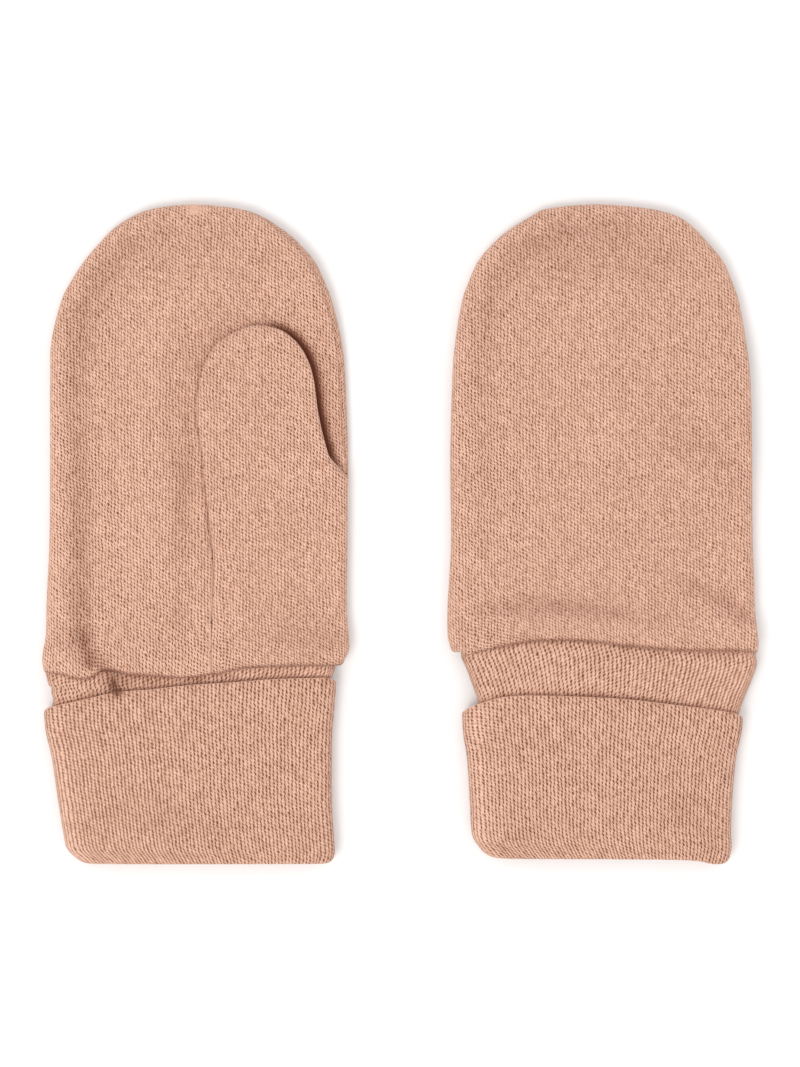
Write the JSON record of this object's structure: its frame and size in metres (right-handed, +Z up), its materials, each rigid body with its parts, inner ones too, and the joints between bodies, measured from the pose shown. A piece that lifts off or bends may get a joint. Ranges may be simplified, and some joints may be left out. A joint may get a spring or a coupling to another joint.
{
  "type": "wool mittens",
  "caption": "Pair of toddler's wool knit mittens laid flat, palm and back up, with side thumbs and turned-up ribbed cuffs.",
  "frame": {"origin": "on the surface the mittens lie on, at the middle of the pair", "axes": "+X from the right hand's mitten to the left hand's, +Y towards the fingertips, +Z up from the surface"},
  "size_m": [0.1862, 0.1712, 0.0082],
  "materials": {
    "palm": "soft wool knit, dusty apricot",
    "back": "soft wool knit, dusty apricot",
    "thumb_front": "soft wool knit, dusty apricot",
    "thumb_back": "soft wool knit, dusty apricot",
    "cuff": "ribbed wool knit, dusty apricot"
  },
  "bodies": {
    "root": {"right_palm": "palm", "right_back": "back", "right_thumb_front": "thumb_front", "right_thumb_back": "thumb_back", "right_cuff": "cuff", "left_palm": "palm", "left_back": "back", "left_thumb_front": "thumb_front", "left_thumb_back": "thumb_back", "left_cuff": "cuff"}
  },
  "joints": []
}
